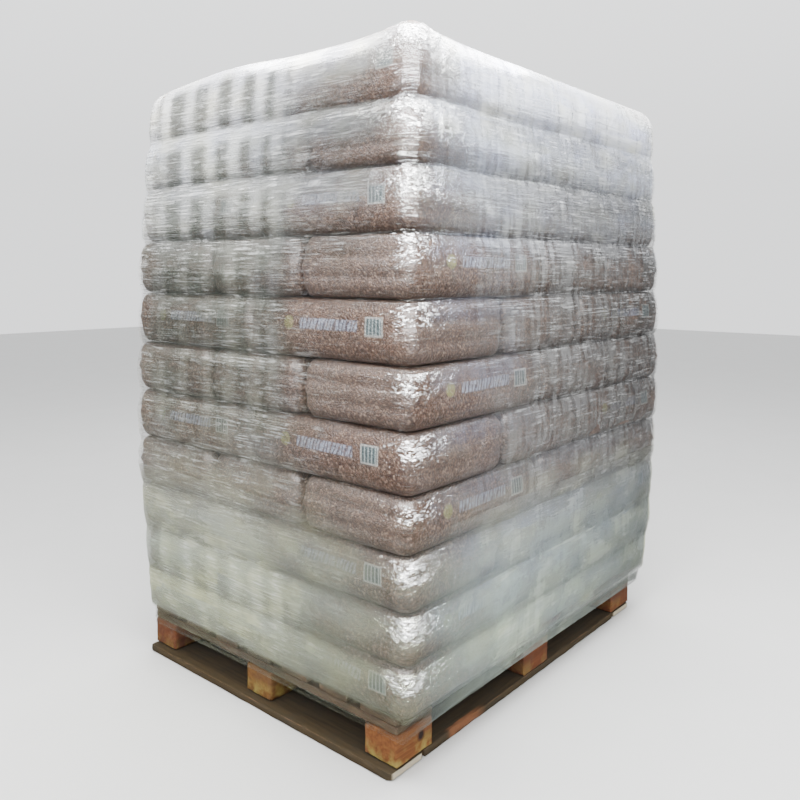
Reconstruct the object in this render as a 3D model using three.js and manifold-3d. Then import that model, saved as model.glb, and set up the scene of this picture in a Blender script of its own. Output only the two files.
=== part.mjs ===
// A wooden pallet carrying eleven layers of filled sacks, wrapped in stretch film.
// Millimetres, +Z up. The origin is under the middle of the load, at floor level.
// X runs along the long side of the pallet and Y along the short side.
import * as THREE from "three";
import Module from "manifold-3d";

// Pallet: nine blocks under three cross boards and seven deck boards, on five bottom boards.
const PALLET_LENGTH = 1200;
const PALLET_WIDTH = 1000;
const PALLET_CENTRE_X = -16.5;
const PALLET_CENTRE_Y = 16.5;
const BOARD_THICKNESS = 20;
const BLOCK_LENGTH = 130;
const BLOCK_WIDTH = 105;
const BLOCK_HEIGHT = 78;
const END_BOARD_WIDTH = 120;
const END_BOARD_OVERHANG = 22;
const BOARD_END_GAP = 2;
const OUTER_DECK_BOARD_WIDTH = 120;
const INNER_DECK_BOARD_WIDTH = 100;
const DECK_BOARD_COUNT = 7;
const BOARD_CHAMFER = 3;

// Load: the seam heights run from the deck to the top of the uppermost sacks.
const SEAM_HEIGHTS = [138, 266, 392, 526, 662, 806, 950, 1098, 1248, 1400, 1545, 1716];
const LAYER_GAP = 0.3;
const LOAD_HALF_LENGTH = 660;
const LOAD_HALF_WIDTH = 560;
// How far each layer, from the bottom up, stands back from the widest one.
const BACK_LEFT_INSETS = [22, 16, 10, 0, 0, 0, 4, 5, 14, 20, 34];
const FRONT_RIGHT_INSETS = [30, 18, 13, 7, 0, 0, 0, 3, 10, 16, 22];

// Sacks: filled cushions whose long side is about one and a half times the short one.
const SACK_LENGTH_SHARE = 0.424;
const SACK_EDGE_ROUNDING = 26;
const SACK_CORNER_RADIUS = 40;
const SACK_TOP_DOME = 9;
const SACK_TOP_INSET = 78;
const SACK_JOINT_OVERLAP = 4;
const SACK_JOINT_WANDER = 6;
const SACK_FACE_WANDER = 4;
const ROUNDING_LEVELS = [-1, -0.7, 0, 0.7, 1];
const CORNER_STEPS = 3;
const CORE_INSET = 90;
const CORE_DEPTH_BELOW_FACES = 20;

// Film: a thin sleeve, open below and above, that bridges the grooves between the layers.
const FILM_THICKNESS = 2;
const FILM_CLEARANCE = 0.6;
const FILM_GROOVE_DEPTH = 11;
const FILM_SHOULDER_DEPTH = 4;
const FILM_SHOULDER_LEVELS = [-0.7, 0, 0.7];
const FILM_RIM_RISE = 2;
const FILM_HEM_BOTTOM = 96;
const FILM_HEM_CLEARANCE = 3;
const FILM_HEM_RADIUS = 8;
const FILM_TOP = 1728;
const FILM_COLLAR_WIDTH = 110;

const WOOD_BLOCK = { color: 0xb06a34, roughness: 0.85, metalness: 0 };
const WOOD_BOARD = { color: 0x8a6a4c, roughness: 0.9, metalness: 0 };
const WOOD_BOTTOM = { color: 0x6a5645, roughness: 0.9, metalness: 0 };
const SACK_PLASTIC = { color: 0x96765a, roughness: 0.45, metalness: 0 };
const FILM_PLASTIC = { color: 0xc9cdc8, roughness: 0.25, metalness: 0, transparent: true, opacity: 0.35 };

const wasm = await Module();
wasm.setup();

// A small seeded generator, so that every build gives the same sacks.
let seed = 20417;
function wander(amount) {
  seed = (seed * 48271) % 2147483647;
  return (seed / 2147483647 * 2 - 1) * amount;
}

function addMesh(group, name, geometry, look) {
  const mesh = new THREE.Mesh(geometry, new THREE.MeshStandardMaterial(look));
  mesh.name = name;
  group.add(mesh);
  return mesh;
}

// The points of a rounded rectangle, anticlockwise, at one height.
function roundedOutline(rect, radius, z) {
  const corners = [
    [rect.xMax - radius, rect.yMax - radius, 0],
    [rect.xMin + radius, rect.yMax - radius, 1],
    [rect.xMin + radius, rect.yMin + radius, 2],
    [rect.xMax - radius, rect.yMin + radius, 3],
  ];
  const points = [];
  for (const [x, y, quarter] of corners) {
    for (let step = 0; step <= CORNER_STEPS; step += 1) {
      const angle = (quarter + step / CORNER_STEPS) * Math.PI / 2;
      points.push([x + radius * Math.cos(angle), y + radius * Math.sin(angle), z]);
    }
  }
  return points;
}

function insetRect(rect, inset) {
  return {
    xMin: rect.xMin + inset,
    xMax: rect.xMax - inset,
    yMin: rect.yMin + inset,
    yMax: rect.yMax - inset,
  };
}

function geometryFrom(positions, indices) {
  const geometry = new THREE.BufferGeometry();
  geometry.setAttribute("position", new THREE.Float32BufferAttribute(positions, 3));
  geometry.setIndex(indices);
  geometry.computeVertexNormals();
  return geometry;
}

// Joins ring to ring with two triangles for each side. The faces point away from the axis.
function addBands(indices, ringCount, pointCount, offset, outward) {
  for (let ring = 0; ring < ringCount - 1; ring += 1) {
    for (let point = 0; point < pointCount; point += 1) {
      const next = (point + 1) % pointCount;
      const a = offset + ring * pointCount + point;
      const b = offset + ring * pointCount + next;
      const c = a + pointCount;
      const d = b + pointCount;
      if (outward) {
        indices.push(a, b, d, a, d, c);
      } else {
        indices.push(a, d, b, a, c, d);
      }
    }
  }
}

// A solid through the rings, closed flat below the first and above the last.
function loft(rings) {
  const pointCount = rings[0].length;
  const indices = [];
  addBands(indices, rings.length, pointCount, 0, true);
  const last = (rings.length - 1) * pointCount;
  for (let point = 1; point < pointCount - 1; point += 1) {
    indices.push(0, point + 1, point);
    indices.push(last, last + point, last + point + 1);
  }
  return geometryFrom(rings.flat(2), indices);
}

// A thin wall between two stacks of rings, open at both ends of the stack.
function sleeve(innerRings, outerRings) {
  const pointCount = innerRings[0].length;
  const ringCount = innerRings.length;
  const outerStart = ringCount * pointCount;
  const indices = [];
  addBands(indices, ringCount, pointCount, 0, false);
  addBands(indices, ringCount, pointCount, outerStart, true);
  const lastRing = (ringCount - 1) * pointCount;
  for (let point = 0; point < pointCount; point += 1) {
    const next = (point + 1) % pointCount;
    indices.push(point, next, outerStart + next);
    indices.push(point, outerStart + next, outerStart + point);
    const a = lastRing + point;
    const b = lastRing + next;
    indices.push(a, outerStart + b, b);
    indices.push(a, outerStart + a, outerStart + b);
  }
  return geometryFrom([...innerRings.flat(2), ...outerRings.flat(2)], indices);
}

function toManifold(geometry) {
  return new wasm.Manifold(new wasm.Mesh({
    numProp: 3,
    vertProperties: new Float32Array(geometry.attributes.position.array),
    triVerts: new Uint32Array(geometry.index.array),
  }));
}

function fromManifold(solid) {
  const mesh = solid.getMesh();
  return geometryFrom(mesh.vertProperties, Array.from(mesh.triVerts));
}

// A board with its long edges eased, lying flat, with its lower face at z.
function boardGeometry(lengthX, lengthY) {
  const alongX = lengthX > lengthY;
  const halfWidth = (alongX ? lengthY : lengthX) / 2;
  const length = alongX ? lengthX : lengthY;
  const section = new THREE.Shape();
  section.moveTo(-halfWidth, 0);
  section.lineTo(halfWidth, 0);
  section.lineTo(halfWidth, BOARD_THICKNESS - BOARD_CHAMFER);
  section.lineTo(halfWidth - BOARD_CHAMFER, BOARD_THICKNESS);
  section.lineTo(-halfWidth + BOARD_CHAMFER, BOARD_THICKNESS);
  section.lineTo(-halfWidth, BOARD_THICKNESS - BOARD_CHAMFER);
  const geometry = new THREE.ExtrudeGeometry(section, { depth: length, bevelEnabled: false });
  geometry.translate(0, 0, -length / 2);
  geometry.rotateX(Math.PI / 2);
  if (alongX) {
    geometry.rotateZ(Math.PI / 2);
  }
  return geometry;
}

function addBoard(group, name, lengthX, lengthY, x, y, z, look) {
  const mesh = addMesh(group, name, boardGeometry(lengthX, lengthY), look);
  mesh.position.set(x, y, z);
}

function makePallet() {
  const pallet = new THREE.Group();
  pallet.position.set(PALLET_CENTRE_X, PALLET_CENTRE_Y, 0);
  const blockX = (PALLET_LENGTH - BLOCK_LENGTH) / 2;
  const blockY = (PALLET_WIDTH - BLOCK_WIDTH) / 2;
  const columns = [["left", -blockX], ["middle", 0], ["right", blockX]];
  const rows = [["front", -blockY], ["middle", 0], ["back", blockY]];

  const leftEndX = -PALLET_LENGTH / 2 - END_BOARD_OVERHANG + END_BOARD_WIDTH / 2;
  const rightEndX = PALLET_LENGTH / 2 - END_BOARD_WIDTH / 2;
  addBoard(pallet, "bottom_end_board_left", END_BOARD_WIDTH, PALLET_WIDTH, leftEndX, 0, 0, WOOD_BOTTOM);
  addBoard(pallet, "bottom_end_board_right", END_BOARD_WIDTH, PALLET_WIDTH, rightEndX, 0, 0, WOOD_BOTTOM);
  const runnerStart = leftEndX + END_BOARD_WIDTH / 2 + BOARD_END_GAP;
  const runnerEnd = rightEndX - END_BOARD_WIDTH / 2 - BOARD_END_GAP;
  for (const [rowName, y] of rows) {
    const middle = (runnerStart + runnerEnd) / 2;
    const length = runnerEnd - runnerStart;
    addBoard(pallet, `bottom_board_${rowName}`, length, BLOCK_WIDTH, middle, y, 0, WOOD_BOTTOM);
  }

  const blockTop = BOARD_THICKNESS + BLOCK_HEIGHT;
  for (const [columnName, x] of columns) {
    for (const [rowName, y] of rows) {
      const box = new THREE.BoxGeometry(BLOCK_LENGTH, BLOCK_WIDTH, BLOCK_HEIGHT);
      const block = addMesh(pallet, `block_${columnName}_${rowName}`, box, WOOD_BLOCK);
      block.position.set(x, y, BOARD_THICKNESS + BLOCK_HEIGHT / 2);
    }
    addBoard(pallet, `cross_board_${columnName}`, BLOCK_LENGTH, PALLET_WIDTH, x, 0, blockTop, WOOD_BOARD);
  }

  const innerCount = DECK_BOARD_COUNT - 2;
  const boardsWidth = 2 * OUTER_DECK_BOARD_WIDTH + innerCount * INNER_DECK_BOARD_WIDTH;
  const deckGap = (PALLET_WIDTH - boardsWidth) / (DECK_BOARD_COUNT - 1);
  let edge = -PALLET_WIDTH / 2;
  for (let index = 0; index < DECK_BOARD_COUNT; index += 1) {
    const outer = index === 0 || index === DECK_BOARD_COUNT - 1;
    const width = outer ? OUTER_DECK_BOARD_WIDTH : INNER_DECK_BOARD_WIDTH;
    const z = blockTop + BOARD_THICKNESS;
    addBoard(pallet, `deck_board_${index + 1}`, PALLET_LENGTH, width, 0, edge + width / 2, z, WOOD_BOARD);
    edge += width + deckGap;
  }
  return pallet;
}

function layerRect(layer) {
  const backLeft = BACK_LEFT_INSETS[layer];
  const frontRight = FRONT_RIGHT_INSETS[layer];
  return {
    xMin: -LOAD_HALF_LENGTH + backLeft,
    xMax: LOAD_HALF_LENGTH - frontRight,
    yMin: -LOAD_HALF_WIDTH + frontRight,
    yMax: LOAD_HALF_WIDTH - backLeft,
  };
}

function roundingInset(level) {
  return SACK_EDGE_ROUNDING * (1 - Math.sqrt(1 - level * level));
}

// One filled sack: flat where it bears on its neighbours above and below, round at the sides.
function sackSolid(rect, bottom, top, domed) {
  const middle = (bottom + top) / 2;
  const half = (top - bottom) / 2;
  const rings = ROUNDING_LEVELS.map((level) => {
    const inset = roundingInset(level);
    const radius = SACK_CORNER_RADIUS - inset;
    const lowered = domed && level === 1 ? SACK_TOP_DOME : 0;
    return roundedOutline(insetRect(rect, inset), radius, middle + level * half - lowered);
  });
  if (domed) {
    rings.push(roundedOutline(insetRect(rect, SACK_TOP_INSET), SACK_EDGE_ROUNDING, top));
  }
  return toManifold(loft(rings));
}

// Seven sacks to a layer: four lie across one end and three lie along the other.
// The layers take turns, so that every joint is bridged by the layer above.
function sackRects(layer) {
  const rect = layerRect(layer);
  const width = rect.yMax - rect.yMin;
  const length = rect.xMax - rect.xMin;
  const sackLength = length * SACK_LENGTH_SHARE;
  const crossed = layer % 2 === 0;
  const split = crossed ? rect.xMax - sackLength : rect.xMin + sackLength;
  const crossStart = crossed ? rect.xMin : split;
  const crossEnd = crossed ? split : rect.xMax;
  const alongStart = crossed ? split : rect.xMin;
  const alongEnd = crossed ? rect.xMax : split;
  const crossMiddle = (crossStart + crossEnd) / 2 + wander(SACK_JOINT_WANDER);
  const rects = [];
  for (const [xMin, xMax] of [[crossStart, crossMiddle], [crossMiddle, crossEnd]]) {
    const joint = rect.yMin + width / 2 + wander(SACK_JOINT_WANDER);
    rects.push({ xMin, xMax, yMin: rect.yMin, yMax: joint });
    rects.push({ xMin, xMax, yMin: joint, yMax: rect.yMax });
  }
  const firstJoint = rect.yMin + width / 3 + wander(SACK_JOINT_WANDER);
  const secondJoint = rect.yMin + width * 2 / 3 + wander(SACK_JOINT_WANDER);
  rects.push({ xMin: alongStart, xMax: alongEnd, yMin: rect.yMin, yMax: firstJoint });
  rects.push({ xMin: alongStart, xMax: alongEnd, yMin: firstJoint, yMax: secondJoint });
  rects.push({ xMin: alongStart, xMax: alongEnd, yMin: secondJoint, yMax: rect.yMax });
  return rects.map((sack) => fitToLoad(sack, rect));
}

// A sack swells a little past its joints, and stands a little back from the face of the load.
function fitToLoad(sack, rect) {
  const back = () => Math.abs(wander(SACK_FACE_WANDER));
  return {
    xMin: sack.xMin === rect.xMin ? rect.xMin + back() : sack.xMin - SACK_JOINT_OVERLAP,
    xMax: sack.xMax === rect.xMax ? rect.xMax - back() : sack.xMax + SACK_JOINT_OVERLAP,
    yMin: sack.yMin === rect.yMin ? rect.yMin + back() : sack.yMin - SACK_JOINT_OVERLAP,
    yMax: sack.yMax === rect.yMax ? rect.yMax - back() : sack.yMax + SACK_JOINT_OVERLAP,
  };
}

function makeLayer(layer) {
  const bottom = SEAM_HEIGHTS[layer] + LAYER_GAP / 2;
  const top = SEAM_HEIGHTS[layer + 1] - LAYER_GAP / 2;
  const domed = layer === SEAM_HEIGHTS.length - 2;
  const core = insetRect(layerRect(layer), CORE_INSET);
  const coreRings = [bottom + CORE_DEPTH_BELOW_FACES, top - CORE_DEPTH_BELOW_FACES]
    .map((z) => roundedOutline(core, SACK_CORNER_RADIUS, z));
  let solid = toManifold(loft(coreRings));
  for (const sack of sackRects(layer)) {
    solid = solid.add(sackSolid(sack, bottom, top, domed));
  }
  return fromManifold(solid);
}

function unionRect(a, b) {
  return {
    xMin: Math.min(a.xMin, b.xMin),
    xMax: Math.max(a.xMax, b.xMax),
    yMin: Math.min(a.yMin, b.yMin),
    yMax: Math.max(a.yMax, b.yMax),
  };
}

// The film's inner surface, from the hem around the deck up to the collar over the top sacks.
function filmStations() {
  const palletRect = {
    xMin: PALLET_CENTRE_X - PALLET_LENGTH / 2,
    xMax: PALLET_CENTRE_X + PALLET_LENGTH / 2,
    yMin: PALLET_CENTRE_Y - PALLET_WIDTH / 2,
    yMax: PALLET_CENTRE_Y + PALLET_WIDTH / 2,
  };
  const layerCount = SEAM_HEIGHTS.length - 1;
  const sackFoot = insetRect(layerRect(0), SACK_EDGE_ROUNDING);
  const hem = insetRect(palletRect, -FILM_HEM_CLEARANCE);
  const stations = [
    { rect: hem, radius: FILM_HEM_RADIUS, z: FILM_HEM_BOTTOM },
    { rect: unionRect(hem, insetRect(sackFoot, -1)), radius: FILM_HEM_RADIUS, z: SEAM_HEIGHTS[0] },
  ];
  for (let layer = 0; layer < layerCount; layer += 1) {
    const middle = (SEAM_HEIGHTS[layer] + SEAM_HEIGHTS[layer + 1]) / 2;
    const half = (SEAM_HEIGHTS[layer + 1] - SEAM_HEIGHTS[layer]) / 2;
    for (const level of FILM_SHOULDER_LEVELS) {
      const inset = level === 0 ? 0 : FILM_SHOULDER_DEPTH;
      const rect = insetRect(layerRect(layer), inset - FILM_CLEARANCE);
      stations.push({ rect, radius: SACK_CORNER_RADIUS - inset, z: middle + level * half });
    }
    if (layer < layerCount - 1) {
      const seam = unionRect(layerRect(layer), layerRect(layer + 1));
      const rect = insetRect(seam, FILM_GROOVE_DEPTH);
      stations.push({ rect, radius: SACK_CORNER_RADIUS - FILM_GROOVE_DEPTH, z: SEAM_HEIGHTS[layer + 1] });
    }
  }
  const topRect = layerRect(layerCount - 1);
  stations.push({
    rect: insetRect(topRect, FILM_SHOULDER_DEPTH),
    radius: SACK_CORNER_RADIUS - FILM_SHOULDER_DEPTH,
    z: SEAM_HEIGHTS[layerCount] + FILM_RIM_RISE,
  });
  stations.push({
    rect: insetRect(topRect, FILM_COLLAR_WIDTH),
    radius: SACK_CORNER_RADIUS / 2,
    z: FILM_TOP - FILM_THICKNESS,
  });
  return stations;
}

function makeFilm() {
  const stations = filmStations();
  const last = stations.length - 1;
  const inner = stations.map(({ rect, radius, z }) => roundedOutline(rect, radius, z));
  const outer = stations.map(({ rect, radius, z }, index) => {
    const raised = index >= last - 1 ? FILM_THICKNESS : 0;
    const widened = index === last ? 0 : FILM_THICKNESS;
    return roundedOutline(insetRect(rect, -widened), radius + widened, z + raised);
  });
  return sleeve(inner, outer);
}

const load = new THREE.Group();
load.add(makePallet());
for (let layer = 0; layer < SEAM_HEIGHTS.length - 1; layer += 1) {
  const name = `sack_layer_${String(layer + 1).padStart(2, "0")}`;
  addMesh(load, name, makeLayer(layer), SACK_PLASTIC);
}
addMesh(load, "stretch_film", makeFilm(), FILM_PLASTIC);

export default load;
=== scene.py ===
"""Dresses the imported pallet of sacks: weathered timber, filled sacks and wrinkled stretch film.

Metres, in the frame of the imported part: +Z up, X along the long side of the pallet.
The left face is the one at -X and the right face the one at -Y, as the camera sees them.
"""

import math
from types import SimpleNamespace

import bpy
import numpy as np
from mathutils import Matrix, Vector


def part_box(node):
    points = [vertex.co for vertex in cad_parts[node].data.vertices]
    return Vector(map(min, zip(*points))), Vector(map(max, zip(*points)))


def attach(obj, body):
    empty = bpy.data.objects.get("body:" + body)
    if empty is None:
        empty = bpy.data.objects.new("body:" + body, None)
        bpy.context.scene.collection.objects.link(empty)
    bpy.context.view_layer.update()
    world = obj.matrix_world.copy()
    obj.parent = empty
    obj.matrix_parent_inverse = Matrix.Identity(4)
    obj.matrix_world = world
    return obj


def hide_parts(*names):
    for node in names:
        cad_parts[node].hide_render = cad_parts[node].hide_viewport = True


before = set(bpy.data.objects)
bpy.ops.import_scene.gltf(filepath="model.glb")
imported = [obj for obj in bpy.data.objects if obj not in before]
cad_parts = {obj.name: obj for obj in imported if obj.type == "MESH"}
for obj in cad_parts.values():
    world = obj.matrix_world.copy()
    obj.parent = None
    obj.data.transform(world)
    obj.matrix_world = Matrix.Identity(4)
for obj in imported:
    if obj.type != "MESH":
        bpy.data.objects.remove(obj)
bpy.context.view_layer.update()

SEED = 20417
WHITE = (1.0, 1.0, 1.0)

# Camera, read from the perspective of the pallet's blocks and of the seams between the layers.
CAMERA_PLACE = (-1.9205, -1.6605, 1.156)
CAMERA_YAW = 38.95
CAMERA_PITCH = 1.9
CAMERA_ROLL = 0.18
SENSOR_WIDTH = 36.0
FOCAL_PIXELS = 782.0
IMAGE_SIDE = 800.0
OPTICAL_AXIS_PIXEL = (440.0, 300.0)

# The studio: light from the walls and the ceiling, by the sine of the height in the sky.
WALL_LIGHT = 0.5
CEILING_LIGHT = 1.6
CEILING_SPAN = (0.12, 0.75)
BACKDROP_BEARING = 39.0
BACKDROP_LIGHT = 1.7
BACKDROP_SPAN = (0.55, 0.85)
SKY_TINT = (0.96, 0.97, 0.98)
FLOOR_REACH = 14.0
FLOOR_TONES = ((0.58, 0.58, 0.575), (0.62, 0.62, 0.615))

# Lamps: name, place, target, size, power and tint. The glint lamps show in reflections only.
LAMPS = [
    ("key", (-3.0, -2.6, 3.3), (-0.5, -0.4, 1.1), (1.5, 1.2), 105, (1.0, 0.99, 0.97)),
    ("left_panel", (-3.5, 4.4, 2.5), (-0.6, 0.1, 1.5), (1.7, 2.2), 30, (1.0, 0.99, 0.96)),
    ("top_panel", (1.6, 1.4, 4.3), (0.0, 0.0, 1.6), (3.2, 3.2), 130, WHITE),
    ("over_left_edge", (-0.78, 0.0, 2.4), (-0.74, 0.0, 0.0), (1.7, 0.9), 105, WHITE),
    ("over_right_edge", (0.0, -0.7, 2.4), (0.0, -0.66, 0.0), (1.7, 0.9), 105, WHITE)]
RIGHT_PANEL = ("right_panel", (4.2, -3.4, 3.2), (0.1, -0.5, 1.4), (1.6, 1.6), 40, (0.92, 0.96, 1.0))
GLINT_BEARINGS = (172, 221, 270)
GLINT_TARGET = (-0.6, -0.5, 1.1)
GLINT_DISTANCE = 3.2
GLINT_HEIGHT = 2.6
GLINT_SIZE = (2.7, 2.2)
GLINT_POWER = 850

# The timber.
TIMBER_EDGE = 0.0025
TIMBER_STEP = 0.007
TIMBER_ROUGHNESS = 0.0006
BLOCK_SAWING = {"step": 0.005, "edge": 0.003, "rough": 0.0009}
CHIP_DEPTH = 0.006
TORN_REACH = 0.012
TORN_SPAN = (0.09, 0.25)
TORN_DEPTH = 0.004
TORN_ROUGHNESS = 0.003
KNOT_SHARE = 0.67
KNOT_HEIGHT = 0.062
KNOT_SOFTNESS = 0.004
# The radius, the strength and the tone of the ring of the knot and of its heart.
KNOT_PARTS = [(0.015, 0.7, (0.045, 0.016, 0.006)), (0.01, 0.95, (0.012, 0.007, 0.005))]
SMALL_KNOT_TONE = (0.045, 0.025, 0.015)
MOSS_SPAN = (0.026, 0.066)
MOSS_TONE = (0.24, 0.19, 0.045)
TORN_TONE = (0.2, 0.078, 0.032)
WORN_TONE = (0.2, 0.095, 0.045)
CUT_END_TONE = (0.52, 0.46, 0.34)
# The pale tone, the dark tone, the stain and the moss of each kind of timber.
WOODS = {
    "block_wood_warm": ((0.165, 0.06, 0.016), (0.065, 0.021, 0.005), (0.09, 0.038, 0.018), 0.9),
    "block_wood_gold": ((0.155, 0.07, 0.016), (0.065, 0.027, 0.006), (0.09, 0.045, 0.018), 0.9),
    "block_wood_red": ((0.13, 0.041, 0.013), (0.058, 0.017, 0.006), (0.07, 0.028, 0.016), 0.3),
    "bottom_board_wood": ((0.05, 0.033, 0.014), (0.022, 0.015, 0.006), (0.03, 0.024, 0.014), 0.0),
    "deck_board_wood": ((0.085, 0.056, 0.032), (0.045, 0.028, 0.016), (0.03, 0.022, 0.014), 0.0)}

# The load. Each box is a low and a high corner, and the seams include the load's foot and top.
LAYER_COUNT = 11
LAYER_BOXES = np.array([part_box(f"sack_layer_{number:02d}") for number in range(1, LAYER_COUNT + 1)])
LAYER_MIDDLES = LAYER_BOXES[:, :, 2].mean(axis=1)
SEAMS = np.append(LAYER_BOXES[0, 0, 2], LAYER_BOXES[:, 1, 2])
SACK_LENGTH_SHARE = 0.424
SACK_JOINT_WANDER = 0.008
SACK_EDGE_ROUNDING = 0.03
SACK_SHOULDER = 0.044
SACK_CORNER_RADIUS = 0.032
SACK_SETBACK = 0.002
SACK_LEVELS = 19
SACK_SIDE_STEPS = 22
SACK_CORNER_STEPS = 5
SACK_LUMP = 0.0025
SACK_PLEAT = 0.0035
SACK_SEAL_RIDGE = 0.004
SACK_SEAL_DIP = 0.006
SACK_CROWN = 0.006
SACK_CAP_WAVE = 0.004
SACK_CAP_SHARES = (0.16, 0.42, 0.72)
NEAR_CORNER_LIFT = 0.019
NEAR_CORNER_REACH = 0.13
LEFT_SIDE_LIFT = 0.012
FAR_CORNER_DROP = 0.014
PELLET_WIDTH = 0.005
PELLET_LENGTH = 0.0075
PELLET_TONES = [(0.0, (0.05, 0.022, 0.013)), (0.4, (0.105, 0.052, 0.033)),
                (0.75, (0.16, 0.088, 0.056)), (1.0, (0.3, 0.2, 0.145))]
PELLET_GAP_TONE = (0.03, 0.014, 0.008)
SACK_MILK_TONE = (0.29, 0.26, 0.24)
SACK_SHADE_TONE = (0.035, 0.022, 0.016)

# The plain print on a sack's long side: middles and half widths along it, from its left end.
PRINT_HEIGHT = 0.012
PRINT_BAR_SPAN = (0.2875, 0.0975)
PRINT_BAR_HALF_HEIGHT = 0.013
PRINT_DISC_PLACE = 0.148
PRINT_DISC_RADIUS = 0.017
PRINT_PANEL_SPAN = (0.4375, 0.0275)
PRINT_PANEL_HALF_HEIGHT = 0.0225
PRINT_FRAME = 0.004
PRINT_SOFTNESS = 0.0015
PRINT_STROKE_PERIOD = 0.0125
PRINT_BAR_PERIOD = 0.011
PRINT_OUTLINE_TONE = (0.055, 0.075, 0.13)
PRINT_STROKE_TONE = (0.44, 0.5, 0.62)
PRINT_DISC_TONE = (0.36, 0.4, 0.1)
PRINT_FRAME_TONE = (0.42, 0.44, 0.42)
PRINT_BAR_TONES = ((0.035, 0.06, 0.065), (0.24, 0.28, 0.28))

# The film's shape.
FILM_STAND_OFF = 0.0015
FILM_RIM_DROP = 0.008
FILM_FOOT_INSETS = [0.017, 0.008, 0.002]
FILM_GROOVES = [0.004, 0.006, 0.009, 0.012, 0.013, 0.013, 0.013, 0.013, 0.012, 0.011]
SHOULDER_HEIGHT = 0.075
SHOULDER_DEPTH = 0.04
FILM_CORNER_RADIUS = 0.033
FILM_SIDE_STEPS = (150, 126)
FILM_CORNER_STEPS = 18
FILM_ROWS = 148
FILM_HEM_CLEARANCE = 0.003
FILM_HEM_RADIUS = 0.008
FILM_HEM_HEIGHT = 0.09
FILM_HEM_SWING = 0.012
FILM_HEM_LIFT_RIGHT = 0.014
FILM_TIMBER_TOP = 0.14
FILM_COLLAR_WIDTH = 0.085
FILM_COLLAR_RISE = 0.006
FILM_COLLAR_ROWS = 12
FILM_CRUMPLE_REACH = (0.15, 0.095)
SWAY_SPAN = 4.8
TURN_THICKNESS = 0.0012
JOINT_DIP_DEPTH = 0.0012
JOINT_DIP_WIDTH = 0.022
SIDE_BOW = 0.0015
LONG_WAVE = 0.0009
BROAD_WAVE = 0.001
CRUMPLE_DEPTH = 0.0052
PULL_DEPTH = 0.0002

# The film's looks by layer, from the lowest to the highest. Many of them are painted light and shade.
FILM_BY_LAYER = {
    "haze_near_corner": [0.3, 0.3, 0.26, 0.12, 0.06, 0.05, 0.06, 0.08, 0.18, 0.28, 0.4],
    "haze_elsewhere": [0.72, 0.72, 0.66, 0.36, 0.19, 0.16, 0.15, 0.2, 0.46, 0.6, 1.1],
    "haze_on_crest": [0.15, 0.15, 0.15, 0.1, 0.05, 0.05, 0.08, 0.2, 0.45, 0.5, 0.5],
    "seam_shade": [0.3, 0.3, 0.3, 0.35, 0.35, 0.35, 0.35, 0.3, 0.2, 0.12, 0.05],
    "grey_left": [0, 0, 0, 0.35, 0.7, 0.8, 0.8, 0.6, 0.2, 0, 0],
    "grey_right": [0, 0, 0.15, 0.5, 0.85, 0.9, 0.9, 0.85, 0.5, 0.15, 0],
    # painted shade on the right face row by row, and painted light where the value is negative
    "dim_right": [0, 0, 0, 0.05, 0.3, -0.1, 0.4, -0.12, 0.06, -0.08, -0.08],
    "corner_clear": [0.25, 0.25, 0.35, 0.85, 1, 1, 1, 1, 1, 1, 0.9],
    "veil_right": [0, 0, 0.2, 0.6, 1, 1, 1, 1, 0.3, 0, 0],
    "band_dim": [0, 0, 0, 0, 0.1, 0.15, 0.2, 0.25, 0.25, 0.2, 0],
    "under_left": [0, 0, 0, 0.4, 0.6, 0.6, 0.6, 0.9, 1, 1, 1],
    "pulled_right": [0.9, 0.9, 0.8, 0.6, 0.9, 0.6, 0.6, 1, 1, 1, 0.5],
    "crest_left": [0.09, 0.09, 0.06, -0.04, -0.12, -0.22, -0.58, -0.62, -0.14, -0.02, 0.1],
    "crest_right": [0.09, 0.08, 0.04, -0.1, -0.2, -0.22, -0.4, -0.42, -0.5, -0.46, 0.08],
    "drawn_lines": [0.28, 0.28, 0.3, 0.5, 0.7, 0.75, 0.8, 0.9, 1, 1, 1],
    "shade_left": [0.3, 0.25, 0.2, 0.3, 0.3, 0.5, 1, 1.1, 0.3, 0.15, 0],
    "shade_right": [0.9, 0.95, 0.85, 1, 1.1, 1.1, 1.25, 1.15, 0.7, 0.45, 0],
    "shade_near_left": [0.65, 0.55, 0.5, 0.65, 0.6, 0.7, 0.95, 1.3, 0.95, 1.4, 1]}
FILM_TINTS = [(0.6, 0.64, 0.47), (0.6, 0.64, 0.49), (0.58, 0.61, 0.5), (0.53, 0.51, 0.42),
              (0.48, 0.455, 0.41), (0.48, 0.455, 0.42), (0.51, 0.49, 0.46), (0.6, 0.6, 0.58),
              (0.76, 0.78, 0.78), (0.84, 0.87, 0.88), WHITE]
DULL_TINT_LEFT = (0.37, 0.375, 0.3)
DULL_TINT_RIGHT = (0.255, 0.25, 0.24)
STREAK_TINT = (0.95, 0.96, 0.96)
CLEAR_REACH = 0.3
GREY_PATCH_PLACE = (-0.08, 1.43)
GREY_PATCH_SIZE = (0.62, 0.28)
# Painted reflection stripes on the left face: their places, half width, the tint between them, and their
# strength by height.
GATHERED_PLACES = [0.42, 0.298, 0.187, 0.08, -0.018, -0.1]
GATHERED_HALF_WIDTH = 0.027
GATHERED_GAP_TINT = (0.08, 0.092, 0.075)
GATHERED_HEIGHTS = [0.2, 0.27, 0.36, 0.42, 0.55, 0.8, 1.15]
GATHERED_STRENGTHS = [0.0, 0.55, 0.55, 0.0, 0.0, 0.65, 0.85]


# Noise and weights

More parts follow.
